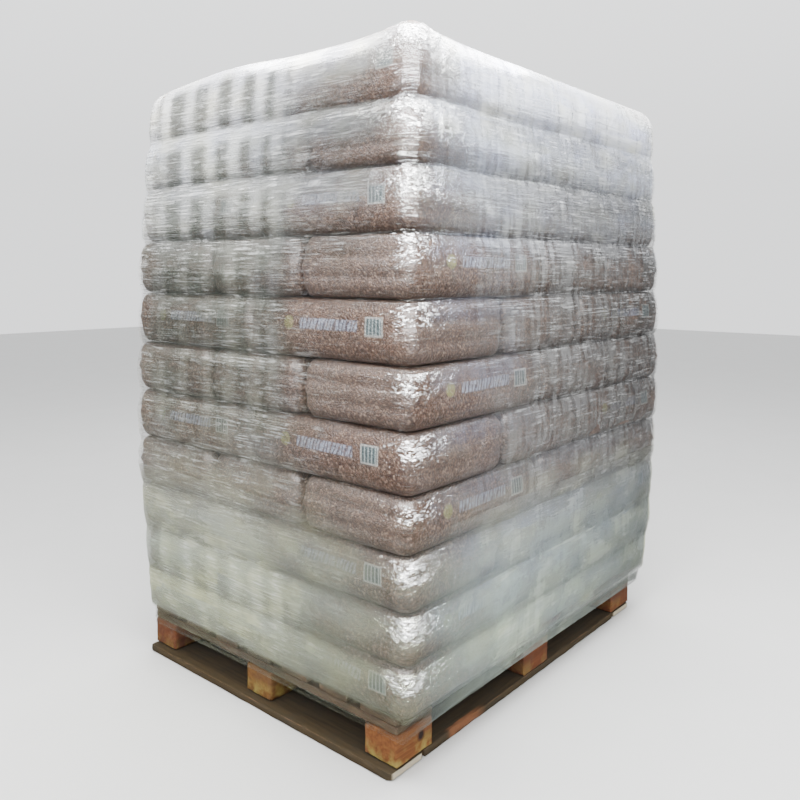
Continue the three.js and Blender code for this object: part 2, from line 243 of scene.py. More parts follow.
def lattice_noise(u, v, seed):
    """Smooth noise from -1 to 1 at the lattice coordinates u and v, which are arrays or numbers."""
    table = np.random.default_rng(seed).uniform(-1, 1, (256, 256))
    u0 = np.floor(u).astype(int)
    v0 = np.floor(v).astype(int)
    fu = u - u0
    fv = v - v0
    fu = fu * fu * (3 - 2 * fu)
    fv = fv * fv * (3 - 2 * fv)

    def between(row):
        return table[u0 % 256, row % 256] * (1 - fu) + table[(u0 + 1) % 256, row % 256] * fu

    return between(v0) * (1 - fv) + between(v0 + 1) * fv


def fractal_noise(u, v, seed):
    """Adds finer and fainter copies of the lattice noise."""
    total = 0.0
    for octave in range(3):
        scale = 2.0 ** octave
        finer = lattice_noise(u * scale + 7.3 * octave, v * scale + 3.1 * octave, seed + octave)
        total = total + finer / scale
    return total


def bump_at(distance, width):
    """A smooth hill, 1 where the distance is zero, that fades over the width."""
    return np.exp(-(distance / width) ** 2)


def fade(value, start, width):
    """Rises from 0 at the start to 1 at the end of the width. A negative width turns it round."""
    return np.clip((value - start) / width, 0, 1)


# Meshes

def grid_faces(rows, columns, capped=False):
    """Quads of a sleeve of points, counted row by row, and a face across each end if it is capped."""
    row, column = np.meshgrid(np.arange(rows - 1), np.arange(columns), indexing="ij")
    a = row * columns + column
    b = row * columns + (column + 1) % columns
    faces = np.stack([a, b, b + columns, a + columns], axis=-1).reshape(-1, 4).tolist()
    if capped:
        faces.append(list(range(columns))[::-1])
        faces.append(list(range((rows - 1) * columns, rows * columns)))
    return faces


def add_piece(name, points, faces, material, attributes):
    """Makes a smooth object on the root body, with a number or a vector a point for each attribute."""
    mesh = bpy.data.meshes.new(name)
    mesh.from_pydata(points.reshape(-1, 3).tolist(), [], faces)
    mesh.update()
    for key, values in attributes.items():
        wide = values.ndim == 3
        layer = mesh.attributes.new(key, "FLOAT_VECTOR" if wide else "FLOAT", "POINT")
        layer.data.foreach_set("vector" if wide else "value", values.astype(np.float32).ravel())
    mesh.polygons.foreach_set("use_smooth", [True] * len(mesh.polygons))
    mesh.materials.append(material)
    piece = bpy.data.objects.new(name, mesh)
    bpy.context.scene.collection.objects.link(piece)
    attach(piece, "root")
    return piece


def rounded_outline(rect, radius, side_steps, corner_steps):
    """Points of rounded rectangles, one a row, with the outward direction at each point.

    rect holds x0, x1, y0 and y1. Each of them and the radius is a number or a column of row values.
    The columns run from the +X+Y corner along the back, the left, the front and the right.
    """
    x0, x1, y0, y1 = rect
    centres = [(x1 - radius, y1 - radius), (x0 + radius, y1 - radius),
               (x0 + radius, y0 + radius), (x1 - radius, y0 + radius)]
    parts = []
    for index, (x, y) in enumerate(centres):
        end_x, end_y = centres[(index + 1) % 4]
        turned = np.linspace(0, 1, corner_steps + 1)
        shares = np.linspace(0, 1, side_steps[index % 2] + 1)[1:-1]
        along = np.concatenate([0 * turned, shares])
        angles = np.radians(90 * (index + np.concatenate([turned, 0 * shares + 1])))[None, :]
        out_x, out_y = np.cos(angles), np.sin(angles)
        parts.append((x + (end_x - x) * along + radius * out_x, y + (end_y - y) * along + radius * out_y,
                      out_x + 0 * radius, out_y + 0 * radius))
    return [np.concatenate(part, axis=1) for part in zip(*parts)]


# Shader nodes

class Value:
    """A socket of a node tree that can stand in sums and products."""

    def __init__(self, nodes, socket):
        self.nodes = nodes
        self.socket = socket

    def __add__(self, other):
        return self.nodes.math("ADD", self, other)

    __radd__ = __add__

    def __sub__(self, other):
        return self.nodes.math("SUBTRACT", self, other)

    def __mul__(self, other):
        return self.nodes.math("MULTIPLY", self, other)

    __rmul__ = __mul__

    def __pow__(self, other):
        return self.nodes.math("POWER", self, other)

    def __abs__(self):
        return self.nodes.math("ABSOLUTE", self)


class Nodes:
    """A short way to write a node tree."""

    def __init__(self, tree):
        self.tree = tree

    def put(self, socket, value):
        """Links a socket to a value, or writes a plain one to it. Three numbers of a colour become four."""
        if isinstance(value, Value):
            self.tree.links.new(value.socket, socket)
        elif socket.type == "RGBA":
            socket.default_value = (*value, 1.0)
        else:
            socket.default_value = value

    def make(self, kind, inputs, output=0, **settings):
        """Adds a node, fills its inputs by name or number, and hands back one of its outputs."""
        made = self.tree.nodes.new(kind)
        for key, value in settings.items():
            setattr(made, key, value)
        for key, value in inputs.items():
            self.put(made.inputs[key], value)
        return Value(self, made.outputs[output])

    def place(self):
        return self.make("ShaderNodeTexCoord", {}, "Object")

    def attribute(self, name, output="Fac"):
        return self.make("ShaderNodeAttribute", {}, output, attribute_name=name)

    def axes(self, vector):
        split = self.make("ShaderNodeSeparateXYZ", {"Vector": vector}).socket.node
        return [Value(self, output) for output in split.outputs]

    def mapped(self, vector, scale, rotation=(0, 0, 0), offset=(0, 0, 0)):
        inputs = {"Vector": vector, "Scale": scale, "Rotation": rotation, "Location": offset}
        return self.make("ShaderNodeMapping", inputs)

    def noise(self, vector, scale, detail=3.0, roughness=0.5, distortion=0.0):
        inputs = {"Vector": self.mapped(vector, scale), "Scale": 1.0, "Detail": detail,
                  "Roughness": roughness, "Distortion": distortion}
        return self.make("ShaderNodeTexNoise", inputs, "Fac")

    def voronoi(self, vector, output="Distance"):
        return self.make("ShaderNodeTexVoronoi", {"Vector": vector, "Scale": 1.0}, output)

    def math(self, operation, a, b=0.0, clamp=False):
        return self.make("ShaderNodeMath", {0: a, 1: b}, operation=operation, use_clamp=clamp)

    def pingpong(self, value, scale):
        return self.math("PINGPONG", value, scale)

    def remap(self, value, low, high, to_low=0.0, to_high=1.0):
        inputs = {"Value": value, "From Min": low, "From Max": high, "To Min": to_low, "To Max": to_high}
        return self.make("ShaderNodeMapRange", inputs)

    def mix(self, factor, a, b):
        return self.make("ShaderNodeMix", {0: factor, 6: a, 7: b}, 2, data_type="RGBA")

    def ramp(self, factor, stops):
        colours = self.make("ShaderNodeValToRGB", {"Fac": factor})
        elements = colours.socket.node.color_ramp.elements
        while len(elements) < len(stops):
            elements.new(0.5)
        for element, (position, tone) in zip(elements, stops):
            element.position = position
            element.color = (*tone, 1.0)
        return colours

    def bump(self, height, distance, strength, normal=None):
        inputs = {"Height": height, "Distance": distance, "Strength": strength}
        if normal is not None:
            inputs["Normal"] = normal
        return self.make("ShaderNodeBump", inputs)


class Shader(Nodes):
    """The node tree of a new material, around its Principled BSDF."""

    def __init__(self, name):
        self.material = bpy.data.materials.new(name)
        self.material.use_nodes = True
        super().__init__(self.material.node_tree)

    def finish(self, **sockets):
        surface = self.tree.nodes["Principled BSDF"]
        for key, value in sockets.items():
            self.put(surface.inputs[key.replace("_", " ")], value)
        return self.material


# Camera, lights and floor

def make_camera():
    data = bpy.data.cameras.new("camera")
    data.sensor_width = SENSOR_WIDTH
    data.lens = FOCAL_PIXELS / IMAGE_SIDE * SENSOR_WIDTH
    data.shift_x = (IMAGE_SIDE / 2 - OPTICAL_AXIS_PIXEL[0]) / IMAGE_SIDE
    data.shift_y = (OPTICAL_AXIS_PIXEL[1] - IMAGE_SIDE / 2) / IMAGE_SIDE
    camera = bpy.data.objects.new("camera", data)
    turn = Matrix.Rotation(math.radians(CAMERA_YAW - 90), 4, "Z")
    tilt = Matrix.Rotation(math.radians(90 - CAMERA_PITCH), 4, "X")
    roll = Matrix.Rotation(math.radians(CAMERA_ROLL), 4, "Z")
    camera.matrix_world = Matrix.Translation(CAMERA_PLACE) @ turn @ tilt @ roll
    bpy.context.scene.collection.objects.link(camera)
    bpy.context.scene.camera = camera


def add_light(name, place, target, size, power, tint, glints_only=False):
    data = bpy.data.lights.new(name, "AREA")
    data.shape = "RECTANGLE"
    data.size, data.size_y = size
    data.energy = power
    data.color = tint
    light = bpy.data.objects.new(name, data)
    away = Vector(place) - Vector(target)
    light.matrix_world = Matrix.Translation(place) @ away.to_track_quat("Z", "Y").to_matrix().to_4x4()
    light.visible_camera = False
    light.visible_diffuse = not glints_only
    bpy.context.scene.collection.objects.link(light)


def make_sky():
    """Grey walls, a brighter ceiling, and a bright backdrop behind the load."""
    world = bpy.data.worlds.new("studio")
    world.use_nodes = True
    sky = Nodes(world.node_tree)
    direction = sky.make("ShaderNodeTexCoord", {}, "Generated")
    ceiling = sky.remap(sky.axes(direction)[2], *CEILING_SPAN, WALL_LIGHT, CEILING_LIGHT)
    bearing = math.radians(BACKDROP_BEARING)
    toward = sky.make("ShaderNodeVectorMath", {0: direction, 1: (math.cos(bearing), math.sin(bearing), 0.0)},
                      "Value", operation="DOT_PRODUCT")
    backdrop = sky.remap(toward, *BACKDROP_SPAN, 0.0, BACKDROP_LIGHT - WALL_LIGHT)
    background = world.node_tree.nodes["Background"]
    sky.put(background.inputs["Color"], SKY_TINT)
    sky.put(background.inputs["Strength"], ceiling + backdrop)
    bpy.context.scene.world = world


def make_floor():
    nodes = Shader("floor_paint")
    tone = nodes.mix(nodes.noise(nodes.place(), (4, 4, 4), detail=4), *FLOOR_TONES)
    material = nodes.finish(Base_Color=tone, Roughness=0.75)
    mesh = bpy.data.meshes.new("floor")
    near, far = -FLOOR_REACH, FLOOR_REACH
    mesh.from_pydata([(near, near, 0), (far, near, 0), (far, far, 0), (near, far, 0)], [], [(0, 1, 2, 3)])
    mesh.materials.append(material)
    floor = bpy.data.objects.new("floor", mesh)
    bpy.context.scene.collection.objects.link(floor)
    floor.visible_glossy = False


def make_studio():
    make_sky()
    for lamp in LAMPS:
        add_light(*lamp)
    for number, bearing in enumerate(GLINT_BEARINGS):
        angle = math.radians(bearing)
        place = (GLINT_TARGET[0] + GLINT_DISTANCE * math.cos(angle),
                 GLINT_TARGET[1] + GLINT_DISTANCE * math.sin(angle), GLINT_HEIGHT)
        add_light(f"glints_{number + 1}", place, GLINT_TARGET, GLINT_SIZE, GLINT_POWER, WHITE, True)
    add_light(*RIGHT_PANEL)
    make_floor()


# Timber

def timber_material(name, pale, dark, stain, moss, knot_place=None):
    """Sawn softwood: growth rings round a distant pith, fine fibres, knots, dirt and a mossy foot."""
    nodes = Shader(name)
    grain = nodes.attribute("grain", "Vector")
    place = nodes.place()
    _, across, down = nodes.axes(grain)
    radius = nodes.math("SQRT", across ** 2.0 + down ** 2.0)
    ring = nodes.pingpong(radius * 110.0 + nodes.noise(grain, (4, 34, 34)) * 4.0, 1.0)
    fibre = nodes.noise(grain, (7, 150, 150), roughness=0.6)
    middling = tuple(0.6 * p + 0.4 * d for p, d in zip(pale, dark))
    wood = nodes.ramp(ring * 0.22 + fibre * 0.85, [(0.25, pale), (0.55, middling), (0.9, dark)])
    knot = nodes.voronoi(nodes.mapped(grain, (6, 11, 11)))
    wood = nodes.mix(nodes.remap(knot, 0.08, 0.16, 1.0, 0.0), wood, SMALL_KNOT_TONE)
    blotch = nodes.noise(place, (9, 9, 14), detail=5, roughness=0.6)
    wood = nodes.mix(nodes.remap(blotch, 0.45, 0.68, 0.0, 0.8), wood, stain)
    if moss > 0:
        foot = nodes.remap(nodes.axes(place)[2], *MOSS_SPAN, 1.0, 0.0)
        patches = nodes.remap(nodes.noise(place, (26, 26, 26), detail=4), 0.44, 0.6)
        wood = nodes.mix(foot * patches * moss, wood, MOSS_TONE)
    if knot_place is not None:
        wood = add_knot(nodes, wood, place, knot_place)
    wood = nodes.mix(nodes.attribute("fresh") * 0.8, wood, TORN_TONE)
    rubbed = nodes.remap(nodes.noise(place, (18, 18, 30), detail=4), 0.42, 0.6)
    wood = nodes.mix(nodes.attribute("edge") * rubbed * 0.75, wood, WORN_TONE)
    wood = nodes.mix(nodes.attribute("cut_end") * 0.7, wood, CUT_END_TONE)
    normal = nodes.bump(fibre * 0.8 + ring * 0.2, 0.0012, 0.7)
    return nodes.finish(Base_Color=wood, Roughness=0.8, Specular_IOR_Level=0.08, Normal=normal)


def add_knot(nodes, wood, place, centre):
    """A dark knot with a paler ring and a cracked heart on one face of a block."""
    offset = nodes.make("ShaderNodeVectorMath", {0: place, 1: centre}, "Value", operation="DISTANCE")
    distance = offset + nodes.noise(place, (90, 90, 90), detail=2) * 0.006
    for radius, strength, tone in KNOT_PARTS:
        inside = nodes.remap(distance, radius, radius + KNOT_SOFTNESS, strength, 0.0)
        wood = nodes.mix(inside, wood, tone)
    return wood


def make_timber(node, axis, material, seed, step=TIMBER_STEP, edge=TIMBER_EDGE, rough=TIMBER_ROUGHNESS,
                end_rounding=0.0, torn_span=None):
    """Replaces a CAD board or block with a sawn one of the same size, with worn arrises and rough faces.

    Boards with rounded ends have pale sawn ends too. A torn span runs along the -Y edge.
    """
    low, high = np.array(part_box(node))
    middle = (low + high) / 2
    length, width, height = (high - low)[[axis, 1 - axis, 2]]
    side_steps = [max(1, round((span - 2 * edge) / step)) for span in (width, height)]
    rect = (-width / 2, width / 2, -height / 2, height / 2)
    section_x, section_y, out_x, out_y = rounded_outline(rect, edge, side_steps, 2)
    count = max(8, round(length / (step * 1.6)))
    inner = np.linspace(-length / 2 + edge, length / 2 - edge, count)
    stations = np.concatenate([[-length / 2], inner, [length / 2]])[:, None]
    draw_in = np.pad(np.zeros(count), 1, constant_values=edge)[:, None]
    if end_rounding > 0:
        near_end = fade(np.abs(stations), length / 2 - end_rounding, end_rounding)
        draw_in = draw_in + end_rounding * (1 - np.sqrt(1 - 0.9 * near_end ** 2))
    along = stations + 0 * section_x
    rows, columns = along.shape
    ring = np.linspace(0, 1, columns, endpoint=False)
    cut_end = np.zeros_like(along)
    cut_end[[0, -1]] = end_rounding > 0

    wear = fractal_noise(along / 0.05, ring * 24, seed) * rough
    wear += lattice_noise(along / 0.012, ring * columns / 2, seed + 9) * rough * 0.6
    arris = (np.abs(out_x) > 0.05) & (np.abs(out_y) > 0.05)
    chips = np.clip(fractal_noise(along / 0.03, ring * 9, seed + 4) - 0.25, 0, 1) * CHIP_DEPTH * arris
    away = wear - rough * 1.6 - chips
    across = section_x * (1 - draw_in / (width / 2)) + out_x * away
    upward = section_y * (1 - np.minimum(draw_in, edge) / (height / 2)) + out_y * np.minimum(away, 0)
    torn = np.zeros_like(along)
    if torn_span is not None:
        from_end = along + length / 2
        torn = fade(from_end, torn_span[0], 0.02) * fade(from_end, torn_span[1], -0.05)
        torn = torn * (-section_x > width / 2 - TORN_REACH) * (section_y > -height * 0.38)
        splinters = TORN_ROUGHNESS * fractal_noise(along / 0.02, ring * 20, seed + 5)
        across = across + torn * (TORN_DEPTH + splinters)

    flat = (along, across) if axis == 0 else (across, along)
    points = np.stack([*flat, upward], axis=-1) + middle
    rng = np.random.default_rng(seed)
    pith = rng.uniform(0.03, 0.09, 2) * rng.choice([-1, 1], 2)
    grain = np.stack([along + rng.uniform(0, 40), across + pith[0], upward + pith[1]], axis=-1)
    faces = grid_faces(rows, columns, capped=True)
    if axis == 1:
        faces = [face[::-1] for face in faces]
    worn = arris * np.clip(0.6 + fractal_noise(along / 0.04, ring * 12, seed + 2), 0, 1)
    attributes = {"grain": grain, "fresh": torn, "edge": worn, "cut_end": cut_end}
    piece = add_piece(f"{node}_sawn", points, faces, material, attributes)
    for polygon in piece.data.polygons[-2:]:
        polygon.use_smooth = False
    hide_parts(node)
    return piece


def make_pallet():
    warm, gold, red, bottom, deck = [timber_material(name, *tones) for name, tones in WOODS.items()]
    low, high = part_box("block_left_front")
    knot_place = (low[0] + KNOT_SHARE * (high[0] - low[0]), low[1], KNOT_HEIGHT)
    knotted = timber_material("block_wood_near", *WOODS["block_wood_warm"], knot_place=knot_place)
    special = {"block_left_front": knotted, "block_left_middle": gold, "block_left_back": red,
               "block_middle_front": red, "block_right_front": red}
    timbers = []
    for column in ("left", "middle", "right"):
        for row in ("front", "middle", "back"):
            node = f"block_{column}_{row}"
            timbers.append((node, 0, special.get(node, warm), "block_wood", BLOCK_SAWING))
    for end in ("left", "right"):
        timbers.append((f"bottom_end_board_{end}", 1, bottom, "bottom_wood", {"end_rounding": 0.012}))
    for row, sawing in (("front", {"torn_span": TORN_SPAN}), ("middle", {}), ("back", {})):
        timbers.append((f"bottom_board_{row}", 0, bottom, "bottom_wood", sawing))
    for column in ("left", "middle", "right"):
        timbers.append((f"cross_board_{column}", 1, deck, "deck_wood", {}))
    for number in range(1, 8):
        timbers.append((f"deck_board_{number}", 0, deck, "deck_wood", {}))
    for number, (node, axis, material, slot, sawing) in enumerate(timbers, 1):
        make_timber(node, axis, material, SEED + 11 * number, **sawing)


# Sacks

def sack_rects(layer):
    """The seven places of a layer: four sacks across one end and three along the other, by turns."""
    (x0, y0, _), (x1, y1, _) = LAYER_BOXES[layer]
    sack_length = (x1 - x0) * SACK_LENGTH_SHARE
    crossed_first = layer % 2 == 0
    split = x1 - sack_length if crossed_first else x0 + sack_length
    spans = [(x0, split), (split, x1)]
    cross, along = spans if crossed_first else spans[::-1]
    middle = (cross[0] + cross[1]) / 2
    rng = np.random.default_rng(SEED + layer)

    def joint(part, whole):
        return y0 + (y1 - y0) * part / whole + rng.uniform(-SACK_JOINT_WANDER, SACK_JOINT_WANDER)

    rects = []
    for start, end in ((cross[0], middle), (middle, cross[1])):
        between = joint(1, 2)
        rects += [(start, end, y0, between, 1), (start, end, between, y1, 1)]
    edges = [y0, joint(1, 3), joint(2, 3), y1]
    return rects + [(*along, start, end, 0) for start, end in zip(edges, edges[1:])]


def sack_material():
    """Clear plastic drawn tight over brown pellets, milky where it stands off them, with a plain print."""
    nodes = Shader("sack_film_over_pellets")
    place = nodes.place()
    stretch = (1 / PELLET_WIDTH, 1 / PELLET_WIDTH, 1 / PELLET_LENGTH)
    distances, tones = [], []
    for rotation, offset in (((0.5, 0.3, 0.2), (0, 0, 0)), ((1.7, 0.4, 1.1), (3.1, 1.7, 0.4))):
        cells = nodes.mapped(nodes.mapped(place, (1, 1, 1), rotation, offset), stretch)
        distances.append(nodes.voronoi(cells))
        tones.append(nodes.voronoi(cells, "Color"))
    chooser = nodes.remap(nodes.noise(place, (45, 45, 45), detail=1), 0.48, 0.52)
    gap = nodes.mix(chooser, *distances)
    tone = nodes.make("ShaderNodeSeparateColor", {"Color": nodes.mix(chooser, *tones)}, "Red")
    pellet = nodes.ramp(tone, PELLET_TONES)
    pellet = nodes.mix(nodes.remap(gap, 0.25, 0.75, 0.0, 0.7), pellet, PELLET_GAP_TONE)
    cloud = nodes.noise(place, (13, 13, 26), detail=5, roughness=0.62, distortion=0.4)
    ends = nodes.attribute("ends") * 0.1
    milk = nodes.math("ADD", nodes.remap(cloud, 0.52, 0.74, 0.0, 0.14), ends, clamp=True)
    base = add_print(nodes, nodes.mix(milk, pellet, SACK_MILK_TONE))
    base = nodes.mix(nodes.attribute("shaded"), base, SACK_SHADE_TONE)
    crease = nodes.noise(place, (30, 30, 50), detail=6, roughness=0.66, distortion=0.3)
    normal = nodes.bump(nodes.math("SUBTRACT", 1.0, gap), 0.0018, 0.8)
    normal = nodes.bump(crease, 0.0035, 0.4, normal)
    return nodes.finish(Base_Color=base, Roughness=0.4, Specular_IOR_Level=0.25,
                        Coat_Weight=0.3, Coat_Roughness=0.15, Normal=normal)


def add_print(nodes, base):
    """A worn plain print on a sack's long sides: a disc, a band of slanted strokes and a barred panel."""
    along, height, facing = nodes.axes(nodes.attribute("print_place", "Vector"))
    height = height - PRINT_HEIGHT
    clean = nodes.remap(facing, 0.86, 0.96)
    wear = nodes.noise(nodes.place(), (70, 70, 90), detail=4)
    shown = clean * nodes.remap(wear, 0.3, 0.62, 1.0, 0.45)

    def within(value, middle, half):
        return nodes.remap(abs(value - middle), half - PRINT_SOFTNESS, half + PRINT_SOFTNESS, 1.0, 0.0)

    slanted = along * (1 / PRINT_STROKE_PERIOD) + height * (-0.3 / PRINT_STROKE_PERIOD)
    slanted = slanted + nodes.noise(nodes.place(), (75, 75, 22), detail=1) * 1.6
    stroke = nodes.remap(nodes.pingpong(slanted, 0.5), 0.12, 0.24)
    band = within(along, *PRINT_BAR_SPAN) * within(height, 0.0, PRINT_BAR_HALF_HEIGHT)
    base = nodes.mix(band * shown * 0.6, base, PRINT_OUTLINE_TONE)
    base = nodes.mix(band * stroke * shown * 0.58, base, PRINT_STROKE_TONE)

    distance = nodes.math("SQRT", abs(along - PRINT_DISC_PLACE) ** 2.0 + abs(height) ** 2.0)
    disc = nodes.remap(distance, PRINT_DISC_RADIUS - 0.002, PRINT_DISC_RADIUS + 0.002, 1.0, 0.0)
    base = nodes.mix(disc * shown * 0.5, base, PRINT_DISC_TONE)

    def panel_inside(margin):
        sides = within(along, PRINT_PANEL_SPAN[0], PRINT_PANEL_SPAN[1] - margin)
        return sides * within(height, 0.0, PRINT_PANEL_HALF_HEIGHT - margin)

    base = nodes.mix(panel_inside(0.0) * clean * 0.7, base, PRINT_FRAME_TONE)
    bars = nodes.remap(nodes.pingpong(along * (1 / PRINT_BAR_PERIOD), 0.5), 0.28, 0.38)
    panel = nodes.mix(bars, *PRINT_BAR_TONES)
    return nodes.mix(panel_inside(PRINT_FRAME) * clean * 0.97, base, panel)


def top_lift(xs, ys):
    """How far the uneven filling of the topmost sacks lifts or lowers their tops."""
    low, high = LAYER_BOXES[-1]
    from_left = xs - low[0]
    lift = NEAR_CORNER_LIFT * bump_at(np.hypot(from_left, ys - low[1]), NEAR_CORNER_REACH)
    left_side = bump_at(ys - low[1] * 0.1 - high[1] * 0.35, 0.17) * bump_at(from_left, 0.3)
    lift = lift + LEFT_SIDE_LIFT * left_side
    return lift - FAR_CORNER_DROP * bump_at(np.hypot(from_left, ys - high[1]), NEAR_CORNER_REACH)


def make_sack(name, rect, layer, material, seed):
    """One filled sack: flat where it bears on its neighbours, crowned at its sides, pleated at its ends."""
    x0, x1, y0, y1, long_axis = rect
    low, high = ((x0, x1), (y0, y1))[long_axis]
    bottom, top = LAYER_BOXES[layer, :, 2]
    middle = ((x0 + x1) / 2, (y0 + y1) / 2, (bottom + top) / 2)
    domed = layer == LAYER_COUNT - 1
    angles = np.radians(np.linspace(-90, 90, SACK_LEVELS))[:, None]
    rounding = np.where((angles > 0) & domed, SACK_SHOULDER, SACK_EDGE_ROUNDING)
    inset = rounding * (1 - np.abs(np.cos(angles)) ** 0.85)
    set_in = inset + SACK_SETBACK
    radius = np.maximum(SACK_CORNER_RADIUS - inset * 0.5, 0.02)
    outline = (x0 + set_in, x1 - set_in, y0 + set_in, y1 - set_in)
    xs, ys, out_x, out_y = rounded_outline(outline, radius, (SACK_SIDE_STEPS,) * 2, SACK_CORNER_STEPS)
    level = np.sign(np.sin(angles)) * np.abs(np.sin(angles)) ** 0.85 + 0 * xs
    heights = middle[2] + ((top - bottom) / 2 - 0.0006) * level
    from_middle = np.abs((xs, ys)[long_axis] - middle[long_axis]) / ((high - low) / 2)
    facing, sideways = (out_x, out_y) if long_axis == 0 else (out_y, out_x)
    at_end = fade(from_middle, 0.8, 0.2) * np.clip(np.abs(facing), 0, 1)
    columns = xs.shape[1]
    turn = np.arange(columns) / columns

    lumps = fractal_noise(xs / 0.07 + 11, ys / 0.07 + heights / 0.06, seed) * SACK_LUMP
    pleats = -np.abs(lattice_noise(turn * 46, heights / 0.11, seed + 3)) * SACK_PLEAT
    pleats = pleats * fade(from_middle, 0.7, 0.3)
    seal = SACK_SEAL_RIDGE * bump_at(level, 0.1) - SACK_SEAL_DIP * bump_at(np.abs(level) - 0.3, 0.16)
    away = (lumps + pleats + at_end * seal - SACK_LUMP * 0.6) * (1 - np.abs(level) ** 6)
    away = np.minimum(away, SACK_SETBACK - 0.0005)
    xs = xs + out_x * away
    ys = ys + out_y * away
    if domed:
        heights = heights + (top_lift(xs, ys) - SACK_CROWN) * np.clip(level, 0, 1)
    above, below = [], []
    for share in SACK_CAP_SHARES:
        foot_x, cap_x = xs[[0, -1]] * (1 - share) + middle[0] * share
        foot_y, cap_y = ys[[0, -1]] * (1 - share) + middle[1] * share
        cap_height = heights[-1]
        if domed:
            wave = fractal_noise(cap_x / 0.08, cap_y / 0.08, seed + 8) * SACK_CAP_WAVE
            settle = top_lift(cap_x, cap_y) - top_lift(xs[-1], ys[-1])
            cap_height = cap_height + SACK_CROWN * share + wave + settle
        above.append(np.stack([cap_x, cap_y, cap_height], axis=-1))
        below.insert(0, np.stack([foot_x, foot_y, heights[0]], axis=-1))
    points = np.concatenate([below, np.stack([xs, ys, heights], axis=-1), above])

    # Distances run from left to right as someone in front of each side sees it.
    places = (xs, ys)[long_axis]
    forward = sideways < 0 if long_axis == 0 else sideways > 0
    distances = np.where(forward, places - low, high - places)
    print_place = np.stack([distances, heights - middle[2], np.abs(sideways)], axis=-1)
    shaded = np.clip(np.abs(level * 1.02 - 0.05) ** 5, 0, 1)
    caps = [(len(below), len(above)), (0, 0)]
    attributes = {"ends": np.pad(at_end, caps), "print_place": np.pad(print_place, caps + [(0, 0)]),
                  "shaded": np.pad(shaded, caps, constant_values=1) * (0.0 if domed else 0.75)}
    piece = add_piece(name, points, grid_faces(len(points), columns, capped=True), material, attributes)
    return piece


def make_sacks():
    material = sack_material()
    for layer in range(LAYER_COUNT):
        for number, rect in enumerate(sack_rects(layer)):
            seed = SEED + 100 * layer + 7 * number
            piece = make_sack(f"sack_{layer + 1:02d}_{number + 1}", rect, layer, material, seed)
            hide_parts(f"sack_layer_{layer + 1:02d}")


# The film's shape

def film_rects(heights):
    """The load's outline at each height, before grooves and wrinkles, and its corner radius."""
    decks = np.array([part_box(f"deck_board_{number}") for number in range(1, 8)])
    pallet = (decks[:, 0].min(axis=0), decks[:, 1].max(axis=0))
    deck = pallet[1][2]
    shoulder = fade(heights, SEAMS[-1] - FILM_RIM_DROP - SHOULDER_HEIGHT, SHOULDER_HEIGHT)
    inward = SHOULDER_DEPTH * (1 - np.sqrt(1 - shoulder ** 2))
    places = [0.0, deck + 0.002, deck + 0.01, deck + 0.024, *LAYER_MIDDLES, SEAMS[-1] + 0.02]
    sides = []
    for axis, end, sign in ((0, 0, -1), (0, 1, 1), (1, 0, -1), (1, 1, 1)):
        hem = pallet[end][axis] + sign * FILM_HEM_CLEARANCE
        foot = LAYER_BOXES[0, end, axis] * sign
        values = [hem] + [max(hem * sign, foot - inset) * sign for inset in FILM_FOOT_INSETS]
        values += list(LAYER_BOXES[:, end, axis] + sign * FILM_STAND_OFF)
        sides.append(np.interp(heights, places, values + values[-1:]) - sign * inward)
    return sides, np.interp(heights, [deck + 0.003, deck + 0.03], [FILM_HEM_RADIUS, FILM_CORNER_RADIUS])


def layer_phase(heights):
    """The layer at each height, and the level in it from -1 at its foot to 1 at its top."""
    layer = np.clip(np.searchsorted(SEAMS, heights) - 1, 0, LAYER_COUNT - 1)
    level = (heights - SEAMS[layer]) / (SEAMS[layer + 1] - SEAMS[layer]) * 2 - 1
    return layer, np.clip(level, -1, 1)


def film_groove(heights):
    """How far the film sinks between two layers."""
    _, level = layer_phase(heights)
    lowered = np.clip(level + 0.12 * (1 - level ** 2), -1, 1)
    sink = 1 - (1 - np.abs(lowered) ** 2.2) ** 0.62
    below = heights < (SEAMS[0] + SEAMS[1]) / 2
    above = heights > (SEAMS[-2] + SEAMS[-1]) / 2
    return np.where(below | above, 0.0, np.interp(heights, SEAMS[1:-1], FILM_GROOVES) * sink)


def joint_dips(kinds, shares, heights):
    """Shallow upright dips where the film spans the joint between two sacks."""
    layer, level = layer_phase(heights)
    dips = np.zeros((len(heights), len(kinds)))
    for number, (low, high) in enumerate(LAYER_BOXES):
        length, width, _ = high - low
        strength = (layer == number) * (1 - np.abs(level) ** 4)
        for x0, x1, y0, y1, _ in sack_rects(number):
            for side, touches, place in (("side0", y1 == high[1], (high[0] - x0) / length),
                                         ("side1", x0 == low[0], (high[1] - y0) / width),
                                         ("side2", y0 == low[1], (x0 - low[0]) / length),
                                         ("side3", x1 == high[0], (y0 - low[1]) / width)):
                if touches and 0.03 < place < 0.97:
                    dips += strength * (kinds == side) * bump_at(shares - place, JOINT_DIP_WIDTH)
    return np.clip(dips, 0, 1)


def film_columns():
    """For each column of the film, the side or corner that it lies on and its share of the way along it."""
    kinds, shares = [], []
    for index in range(4):
        steps = FILM_SIDE_STEPS[index % 2]
        kinds += [f"corner{index}"] * (FILM_CORNER_STEPS + 1) + [f"side{index}"] * (steps - 1)
        shares += [*np.linspace(0, 1, FILM_CORNER_STEPS + 1), *np.linspace(0, 1, steps + 1)[1:-1]]
    return np.array(kinds), np.array(shares)


